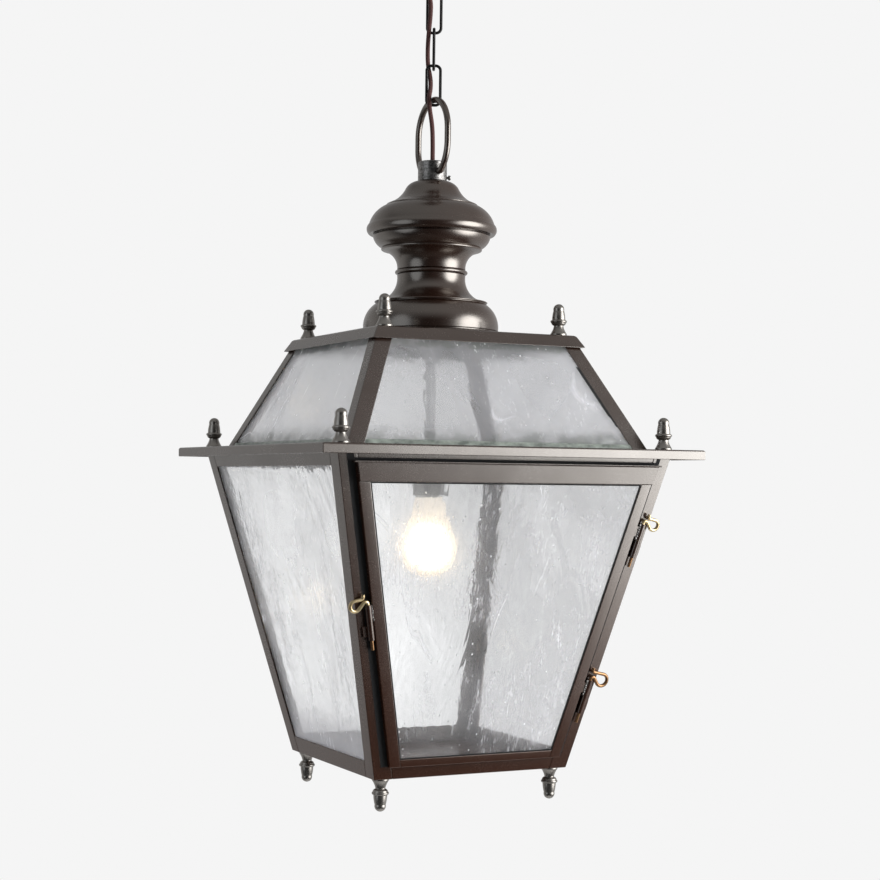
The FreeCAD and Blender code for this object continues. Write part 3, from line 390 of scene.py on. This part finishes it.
def sealant_finish():
    """Greenish clear sealant along the edges of the roof panes."""
    f = new_finish("pane_sealant")
    lumps = f.noise(f.place((1, 1, 2)), 90, 4, 0.6)
    colour = f.mixed(f.fitted(lumps, 0.35, 0.65), (0.16, 0.185, 0.165, 1), (0.42, 0.47, 0.42, 1))
    return f.finish(f.add("ShaderNodeBsdfPrincipled", inputs={
        "Base Color": colour, "Roughness": 0.25 + 0.2 * lumps, "Normal": f.bump(lumps, 0.4, 0.0006)}))


def cord_finish():
    """Dark red-brown braided cord."""
    f = new_finish("braided_cord")
    spot = f.add("ShaderNodeTexCoord", output="UV")
    along = f.add("ShaderNodeMapping", inputs={"Vector": spot, "Scale": (26, 5, 1)})
    weave = f.add("ShaderNodeTexChecker", inputs={
        "Vector": along, "Color1": (0.085, 0.022, 0.018, 1), "Color2": (0.040, 0.012, 0.011, 1),
        "Scale": 2.0}, output="Color")
    check = f.add("ShaderNodeTexChecker", inputs={"Vector": along, "Scale": 2.0}, output="Fac")
    fuzz = f.noise(f.place(), 1200, 2)
    colour = f.mixed(0.3 * fuzz, weave, (0.16, 0.06, 0.05, 1))
    return f.finish(f.add("ShaderNodeBsdfPrincipled", inputs={
        "Base Color": colour, "Roughness": 0.72 + 0.15 * fuzz, "Sheen Weight": 0.2,
        "Normal": f.bump(check + fuzz, 0.4, 0.0004)}))


def trace(steps, fineness=10):
    """Turn corners, and arcs with a rise to the left of their chord, into a fine line."""
    line = [Vector((steps[0][0], steps[0][1]))]
    for step in steps[1:]:
        start = line[-1]
        end = Vector((step[0], step[1]))
        if len(step) == 3:
            chord = end - start
            rise = step[2]
            radius = (chord.length_squared / 4 + rise * rise) / (2 * abs(rise))
            left = Vector((-chord.y, chord.x)).normalized()
            side = math.copysign(1, rise)
            centre = (start + end) / 2 + left * (rise - side * radius)
            spoke = start - centre
            sweep = -side * 2 * math.acos(max(-1, min(1, 1 - abs(rise) / radius)))
            for number in range(1, fineness):
                turn = Matrix.Rotation(sweep * number / fineness, 2)
                line.append(centre + turn @ spoke)
        line.append(end)
    return line


def sharp_edges(mesh, limit):
    """Find the edges where two faces meet at more than a number of degrees."""
    return [edge for edge in mesh.edges if len(edge.link_faces) == 2
            and edge.calc_face_angle() > math.radians(limit)]


def finished(mesh, name, finish, body, *nodes, crease=32, ease=0):
    """Make an object of a bmesh, with eased and smooth edges, and tie it to its body."""
    bmesh.ops.remove_doubles(mesh, verts=mesh.verts, dist=2e-6)
    bmesh.ops.recalc_face_normals(mesh, faces=mesh.faces)
    if ease:
        bmesh.ops.bevel(mesh, geom=sharp_edges(mesh, crease), offset=ease * MM,
                        offset_type="OFFSET", affect="EDGES", segments=2, profile=0.5,
                        clamp_overlap=True, material=-1)
    for face in mesh.faces:
        face.smooth = True
    for edge in sharp_edges(mesh, crease + 14):
        edge.smooth = False
    data = bpy.data.meshes.new(name)
    mesh.to_mesh(data)
    mesh.free()
    thing = bpy.data.objects.new(name, data)
    bpy.context.scene.collection.objects.link(thing)
    data.materials.append(finish)
    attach(thing, body)
    if ease:
        shading = thing.modifiers.new("even_shading", "WEIGHTED_NORMAL")
        shading.keep_sharp = True
    if nodes:
        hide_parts(*nodes)
    return thing


def eased_copy(node, finish, ease=0.8, crease=24):
    """Show a folded sheet or a round CAD piece by a merged copy with softened edges."""
    source = frame["nodes"][node]
    mesh = bmesh.new()
    mesh.from_mesh(source.data)
    bmesh.ops.remove_doubles(mesh, verts=mesh.verts, dist=2e-6)
    if ease:
        bmesh.ops.dissolve_limit(mesh, angle_limit=math.radians(0.3), verts=mesh.verts,
                                 edges=mesh.edges)
    return finished(mesh, node + "_eased", finish, source["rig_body"], node,
                    crease=crease, ease=ease)


def spin_outline(mesh, line, level, segments):
    """Spin a line of radius and height in millimetres about the vertical."""
    verts = [mesh.verts.new((point.x * MM, 0, (point.y + level) * MM)) for point in line]
    edges = [mesh.edges.new(pair) for pair in zip(verts, verts[1:])]
    bmesh.ops.spin(mesh, geom=verts + edges, cent=(0, 0, 0), axis=(0, 0, 1), angle=2 * math.pi,
                   steps=segments, use_merge=True)


def turned(name, steps, level, finish, body, *nodes, segments=120, fineness=12, ease=0.3):
    """Make a piece that is turned or spun on a lathe."""
    mesh = bmesh.new()
    spin_outline(mesh, trace(steps, fineness), level, segments)
    return finished(mesh, name, finish, body, *nodes, ease=ease)


def lay_cord(name, points, finish):
    """Lay one stretch of the supply cord."""
    control = [CHAIN_TURN @ (Vector(point) * MM) for point in points]
    curve = bpy.data.curves.new(name + "_line", "CURVE")
    curve.dimensions = "3D"
    spline = curve.splines.new("NURBS")
    spline.points.add(len(control) - 1)
    for point, spot in zip(spline.points, control):
        point.co = (*spot, 1)
    spline.order_u = 3
    spline.use_endpoint_u = True
    spline.resolution_u = 12
    maker = bpy.data.objects.new(name + "_line", curve)
    line = bpy.data.meshes.new_from_object(maker)
    bpy.data.meshes.remove(line)
    curve.bevel_depth = CORD_WIDTH * MM / 2
    curve.bevel_resolution = 5
    curve.use_fill_caps = True
    data = bpy.data.meshes.new_from_object(maker)
    bpy.data.objects.remove(maker)
    bpy.data.curves.remove(curve)
    data.materials.clear()
    data.materials.append(finish)
    thing = bpy.data.objects.new(name + "_laid", data)
    bpy.context.scene.collection.objects.link(thing)
    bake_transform(thing)
    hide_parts(name)


def make_cord(finish):
    """Lay the supply cord down the chain, one stretch to a joint."""
    for name, parent, child, axis_level, points in CORD_STRETCHES:
        lay_cord(name, points, finish)


def set_camera():
    """Stand the camera where the photograph was taken from."""
    azimuth = math.radians(-25.984)
    pan = math.radians(0.343)
    tilt = math.radians(1.369)
    roll = math.radians(0.673)
    back = Vector((math.sin(azimuth), -math.cos(azimuth), 0))
    right = Vector((math.cos(azimuth), math.sin(azimuth), 0))
    ahead = -math.cos(pan) * back + math.sin(pan) * right
    across = math.cos(pan) * right + math.sin(pan) * back
    up = math.cos(tilt) * Vector((0, 0, 1)) - math.sin(tilt) * ahead
    ahead = math.cos(tilt) * ahead + math.sin(tilt) * Vector((0, 0, 1))
    side = math.cos(roll) * across + math.sin(roll) * up
    top = math.cos(roll) * up - math.sin(roll) * across
    distance = 1.826585
    below_brim = 34.421
    eye = back * distance + Vector((0, 0, BRIM_TOP - below_brim)) * MM
    data = bpy.data.cameras.new("photo_camera")
    focal_pixels = 1796.81
    photo_pixels = 880
    data.sensor_width = 36
    data.lens = data.sensor_width * focal_pixels / photo_pixels
    data.clip_start = 0.05
    camera = bpy.data.objects.new("photo_camera", data)
    bpy.context.scene.collection.objects.link(camera)
    turn = Matrix((side, top, -ahead)).transposed().to_4x4()
    camera.matrix_world = Matrix.Translation(eye) @ turn
    bpy.context.scene.camera = camera


def softbox(name, place, aim, size, power, tint=(1, 1, 1)):
    """Hang a soft oval lamp that lights the lantern but isn't seen itself."""
    data = bpy.data.lights.new(name, "AREA")
    data.shape = "ELLIPSE"
    data.size, data.size_y = size
    data.energy = power
    data.color = tint
    lamp = bpy.data.objects.new(name, data)
    lamp.location = place
    lamp.rotation_euler = (Vector(aim) - Vector(place)).to_track_quat("-Z", "Y").to_euler()
    lamp.visible_camera = False
    lamp.visible_transmission = False
    bpy.context.scene.collection.objects.link(lamp)


def set_backdrop():
    """Surround the lantern with a pale backdrop, and with a darker room behind the camera."""
    world = bpy.data.worlds.new("studio")
    bpy.context.scene.world = world
    f = Finish(world)
    seen = f.add("ShaderNodeLightPath", output="Is Camera Ray")
    through = f.add("ShaderNodeLightPath", output="Is Transmission Ray") * (1 - seen)
    mirrored = f.add("ShaderNodeLightPath", output="Is Glossy Ray")
    way = f.add("ShaderNodeTexCoord", output="Generated")
    front = f.along(way, TO_CAMERA)
    aside = f.along(way, ACROSS_VIEW)
    height = f.height(way)
    shade = f.fitted(aside, -0.09, 0.06, 1.56, 0.58) * f.fitted(height, -0.09, 0.06, 1, 0.60)
    plain = 0.86
    paper = plain + f.fitted(front, -0.985, -0.96, 1, 0) * (shade - plain)
    walls = f.fitted(front, -0.35, 0.3, 0.55, 0.015) * f.fitted(height, 0.2, 0.7, 1, 0.6)
    room = f.add("ShaderNodeMath", {"operation": "MAXIMUM"},
                 {0: walls, 1: f.fitted(height, 0.3, 0.75, 0, 0.36)})
    diffuse = f.fitted(front, -0.4, 0.4, 0.75, 0.12)
    other = 1 - seen - through
    backdrop = 0.913
    light = mirrored * room + (1 - mirrored) * diffuse
    level = seen * backdrop + through * paper + other * light
    f.finish(f.add("ShaderNodeBackground", inputs={"Color": (1, 1, 1, 1), "Strength": level}))


def lay_floor():
    """Lay a pale round floor well below the lantern."""
    mesh = bmesh.new()
    bmesh.ops.create_circle(mesh, cap_ends=True, segments=64, radius=1.1)
    bmesh.ops.translate(mesh, verts=mesh.verts, vec=(0, 0, -2.2))
    data = bpy.data.meshes.new("studio_floor")
    mesh.to_mesh(data)
    mesh.free()
    floor = bpy.data.objects.new("studio_floor", data)
    bpy.context.scene.collection.objects.link(floor)
    f = new_finish("pale_floor")
    cloud = f.noise(f.place(), 3, 2)
    data.materials.append(f.finish(f.add("ShaderNodeBsdfPrincipled", inputs={
        "Base Color": f.mixed(cloud, (0.80, 0.80, 0.80, 1), (0.84, 0.84, 0.84, 1)),
        "Roughness": 0.8})))


def hang_lamps():
    """Hang one wide lamp of three soft layers on the right and a weak cool one on the left."""
    middle = (0, 0, -0.5)
    for name, centre, size, power in (("right_box", -0.34, (1.5, 2.0), 45),
                                      ("right_halo", -0.44, (2.1, 2.4), 33),
                                      ("right_glow", -0.46, (2.7, 2.7), 11)):
        softbox(name, (1.45, -1.37, centre), (0, 0, centre), size, power)
    softbox("left_box", (-2.05, -0.4, -0.4), middle, (1.5, 2.4), 8, (0.90, 0.95, 1.0))


def make_crown(finish):
    """Spin the crown's dome, waist, bowl and cap."""
    turned("crown_dome_spun", (
        (69, 0), (69, 4.6, -1), (67.2, 5), (67.2, 6.2), (68.8, 6.6), (68.8, 12), (56.4, 33.8, -3),
        (55.2, 34.2), (55.2, 35), (57, 35.2), (57, 36.4, -0.5), (52.5, 37),
        (34.8, 63.5, 6), (31.8, 63.5), (49.5, 33.8, -6), (54, 31.5), (67, 12, 3), (67, 0), (69, 0)),
        CAP_TOP, finish, "lantern", "crown_dome")
    turned("crown_waist_spun", (
        (31.8, 0), (33.4, 0), (33.4, 0.7), (34.8, 0.9), (34.8, 4.7, -2.2), (33.4, 4.9), (33.4, 5.6),
        (31.8, 5.6), (31.8, 0)),
        WAIST_BASE, finish, "lantern", "crown_waist")
    turned("crown_bowl_spun", (
        (34.8, 0), (46.5, 18.5, 3.7), (50.5, 19.5), (50.5, 21.9, -0.9), (60, 33.9, -1.9),
        (56.8, 34.3), (56.8, 35.7), (55.5, 35.7), (43.5, 21.9), (31.8, 0, -3.7), (34.8, 0)),
        BOWL_BASE, finish, "lantern", "crown_bowl")
    turned("crown_cap_spun", (
        (57, 0), (64, 0), (64, 10.4, -2.4), (46.5, 29.7, -3.1), (46.5, 30.7), (39.5, 33.8),
        (26.8, 47.7, 1.5), (16, 54.5, -1.4), (8, 55.2), (5.7, 55.2), (5.7, 52.2),
        (16, 47.7), (30.5, 29.7), (57, 10.4), (57, 0)),
        LID_BASE, finish, "lantern", "crown_cap")


def make_finials(finish):
    """Turn the finials of the cap, the brim and the feet, four to a group."""
    for name, pitch, level, way in (("cap_finials", 95.2, CAP_TOP, 1),
                                    ("brim_finials", 170.6, BRIM_TOP, 1),
                                    ("foot_finials", 91.7, BODY_LOW, -1)):
        steps = ((0, 0), (8.2, 0), (8.2, 1.8), (4.8, 9.2, 0.4), (4.8, 10), (7.4, 12.9, -0.6),
                 (6.6, 15.6, -1.2), (5.3, 25, -0.3), (1, 31.5, -1.7), (0, 31.5))
        line = [Vector((point.x, way * point.y)) for point in trace(steps, 12)]
        mesh = bmesh.new()
        for number in range(4):
            fresh = bmesh.new()
            spin_outline(fresh, line, level, 48)
            bmesh.ops.translate(fresh, verts=fresh.verts, vec=(pitch * MM, pitch * MM, 0))
            bmesh.ops.rotate(fresh, verts=fresh.verts, cent=(0, 0, 0),
                             matrix=Matrix.Rotation(QUARTER * number, 3, "Z"))
            part = bpy.data.meshes.new(name)
            fresh.to_mesh(part)
            fresh.free()
            mesh.from_mesh(part)
            bpy.data.meshes.remove(part)
        finished(mesh, name + "_turned", finish, "lantern", name, ease=0.25)


def half_width(level):
    """Return the half width of the tapered body at a level."""
    return BODY_HALF + BODY_SLOPE * (level - BODY_LOW)


def roof_half(level):
    """Return the half width of the roof at a level."""
    return ROOF_HALF - ROOF_SLOPE * (level - BRIM_TOP)


def flat_strip(name, corners, thick, finish, body):
    """Make a thin strip of sheet from the corners of its face, in millimetres."""
    mesh = bmesh.new()
    verts = [mesh.verts.new(Vector(corner) * MM) for corner in corners]
    mesh.faces.new(verts)
    bmesh.ops.solidify(mesh, geom=mesh.faces[:], thickness=thick * MM)
    return finished(mesh, name, finish, body, ease=0.2)


def make_putty(finish):
    """Run a line of putty round the door's pane, in the corner behind the frame's face."""
    stile_edge = 26.5
    front_face = 5.0
    width = 1.3
    thick = 1.1

    def corner(side, level, inset):
        half = half_width(level)
        return mesh.verts.new(Vector((side * (half - stile_edge - inset), -half - front_face, level)) * MM)

    mesh = bmesh.new()
    frames = []
    for inset in (0, width):
        low = DOOR_PANE_LOW + inset
        high = DOOR_PANE_TOP - inset
        frames.append([corner(-1, low, inset), corner(1, low, inset),
                       corner(1, high, inset), corner(-1, high, inset)])
    for number in range(4):
        ahead = (number + 1) % 4
        mesh.faces.new((frames[0][number], frames[0][ahead], frames[1][ahead], frames[1][number]))
    bmesh.ops.recalc_face_normals(mesh, faces=mesh.faces)
    made = bmesh.ops.extrude_face_region(mesh, geom=mesh.faces[:])
    moved = [part for part in made["geom"] if isinstance(part, bmesh.types.BMVert)]
    bmesh.ops.translate(mesh, verts=moved, vec=(0, thick * MM, 0))
    finished(mesh, "door_putty", finish, "door", ease=0.25)


def make_shade_strips(finish):
    """Lay black strips of painted shade on the body's front, on both sides of the door and above it, where
    the frame falls into shade.
    """
    def spot(inset, level, side):
        half = half_width(level)
        return side * (half - inset), -half - proud, level

    proud = 0.1
    high, low = -517.5, -812
    # These strips are painted shade: they stand for the shadow in the recess beside and above the door.
    for name, side, outer, inner, thick in (("latch_side_shade_strip", -1, 8.2, 15.4, 0.5),
                                            ("hinge_side_shade_strip", 1, 11, 15.4, 0.4)):
        corners = [spot(outer, high, side), spot(inner, high, side), spot(inner, low, side),
                   spot(outer, low, side)]
        flat_strip(name, corners, thick, finish, "lantern")
    over, under, reach = -523.4, -528, 15.6
    corners = [spot(reach, over, -1), spot(reach, over, 1), spot(reach, under, 1),
               spot(reach, under, -1)]
    flat_strip("door_head_shade_strip", corners, 0.5, finish, "lantern")


def make_seals(finish):
    """Run sealant along the lower edge of each roof pane."""
    low, high = BRIM_TOP + 0.5, BRIM_TOP + 5
    hip_inset = 17
    proud = 0.2
    thick = 0.8
    mesh = bmesh.new()
    for number in range(4):
        corners = []
        for level, side in ((low, -1), (low, 1), (high, 1), (high, -1)):
            half = roof_half(level)
            place = Vector((side * (half - hip_inset), -half - proud, level))
            corners.append(mesh.verts.new(place * MM))
        mesh.faces.new(corners)
        bmesh.ops.rotate(mesh, verts=corners, cent=(0, 0, 0),
                         matrix=Matrix.Rotation(QUARTER * number, 3, "Z"))
    bmesh.ops.solidify(mesh, geom=mesh.faces[:], thickness=thick * MM)
    finished(mesh, "roof_seals", finish, "lantern", ease=0.2)


def make_clips(finish):
    """Lay the glazing strips that show beside the right hip and the left rear post."""
    roof_proud = 0.4
    roof = []
    for level, inset in ((-430, 17), (-430, 20.4), (-478, 20.4), (-480, 19.2), (-489, 19.2),
                         (-489, 17)):
        half = roof_half(level)
        roof.append((half - inset, -half - roof_proud, level))
    flat_strip("roof_glazing_strip", roof, 1.0, finish, "lantern")
    post_edge = 19
    pane_depth = 6.2
    for number, (high, low, width) in enumerate(((-534, -617, 7), (-716, -800, 9))):
        wall = []
        for level, inset in ((high, post_edge), (high, post_edge + width),
                             (low, post_edge + width), (low, post_edge)):
            half = half_width(level)
            wall.append((-half + pane_depth, half - inset, level))
        flat_strip("wall_glazing_strip_%d" % (number + 1), wall, 0.8, finish, "lantern")


def make_set_screw(finish):
    """Turn the collar's set screw, which sticks out beside the ring."""
    mesh = bmesh.new()
    steps = ((0, 0), (1.3, 0), (1.3, 1.2), (2.3, 1.5), (2.5, 2.2), (2.5, 3.4), (1.9, 4.1), (0.9, 4.1),
             (0.9, 3.3), (0, 3.3))
    spin_outline(mesh, trace(steps), 0, 32)
    away = Vector(ACROSS_VIEW)
    turn = away.to_track_quat("Z", "Y").to_matrix().to_4x4()
    collar_radius = 14.6
    collar_middle = Vector((0, 0, -234.2))
    place = Matrix.Translation((away * collar_radius + collar_middle) * MM)
    bmesh.ops.transform(mesh, matrix=place @ turn, verts=mesh.verts)
    finished(mesh, "collar_set_screw", finish, "lantern", ease=0.15)


def make_welds(finish):
    """Lay a lumpy weld bead between each of the door's knuckles and the frame."""
    lumps = 7
    pitch = 2.2
    bead_depth = 3.6
    for name, side, inset, drop in (("latch", -1, 11.5, 162.5), ("upper_hinge", 1, 8.5, 88.5),
                                    ("lower_hinge", 1, 8.5, 241.8)):
        level = BRIM_TOP - drop
        half = half_width(level)
        along = Vector((side * BODY_SLOPE, -BODY_SLOPE, 1)).normalized()
        off = Vector((0, -1, -BODY_SLOPE)).normalized()
        across = off.cross(along)
        root = Vector((side * (half - inset), -half - bead_depth, level))
        lie = Matrix((across, off, along)).transposed().to_4x4() @ Matrix.Scale(MM, 4)
        mesh = bmesh.new()
        for number in range(lumps):
            lump = bmesh.ops.create_icosphere(mesh, subdivisions=2, radius=1)["verts"]
            wide = 1.25 + 0.25 * math.sin(2.3 * number)
            deep = 0.9 + 0.2 * math.cos(1.7 * number)
            size = Matrix.Diagonal((wide, deep, 1.5, 1))
            spot = root + along * (pitch + pitch * number) + off * 0.9
            spot += across * (side * (3.3 + 0.35 * math.cos(2.9 * number)))
            bmesh.ops.transform(mesh, matrix=Matrix.Translation(spot * MM) @ lie @ size, verts=lump)
        finished(mesh, name + "_weld", finish, "door", crease=60)


ROUND_NODES = ("ceiling_canopy", "canopy_loop", "chain_link_1", "chain_link_2", "chain_link_3",
               "hanging_ring", "hinge_pin_upper", "hinge_pin_lower", "latch_pin",
               "door_knuckles", "post_knuckles", "stem", "lampholder", "bulb_cap", "bulb_glass")


def dress_cad(finishes):
    """Give every CAD node its finish, and show metal pieces by copies with softened edges."""
    for name, thing in frame["nodes"].items():
        thing.data.materials.clear()
        thing.data.materials.append(finishes[slots[name]])
    made = ("crown_", "cord_", "cap_finials", "brim_finials", "foot_finials")
    for name in frame["nodes"]:
        if name.startswith(made):
            continue
        if name == "collar":
            eased_copy(name, finishes["worn"], ease=0, crease=30)
        elif name in ROUND_NODES:
            copy = eased_copy(name, finishes[slots[name]], ease=0, crease=30)
            if "_pin" in name:
                fuller = copy.modifiers.new("fuller_wire", "DISPLACE")
                fuller.strength = 0.4 * MM
                fuller.mid_level = 0
        elif slots[name] == "bronze":
            eased_copy(name, finishes[slots[name]])


finishes = {
    "bronze": bronze_finish(),
    "chain": chain_finish(),
    "nickel": plated_finish(),
    "brass": brass_finish(),
    "glass": glass_finish(),
    "bulb": bulb_finish(),
    "bulb_base": steel_finish(),
    "holder": holder_finish(),
    "steel": steel_finish(),
    "cord": cord_finish(),
    "worn": worn_finish(),
    "putty": putty_and_shade_strip_finish(),
    "sealant": sealant_finish(),
}
set_camera()
make_cord(finishes["cord"])
dress_cad(finishes)
make_crown(finishes["bronze"])
make_finials(finishes["nickel"])
make_putty(finishes["putty"])
make_clips(finishes["putty"])
# The black putty finish also colours the strips of painted shade.
make_shade_strips(finishes["putty"])
make_seals(finishes["sealant"])
make_set_screw(finishes["worn"])
make_welds(finishes["worn"])
set_backdrop()
lay_floor()
hang_lamps()
bpy.context.scene.view_settings.view_transform = "Standard"
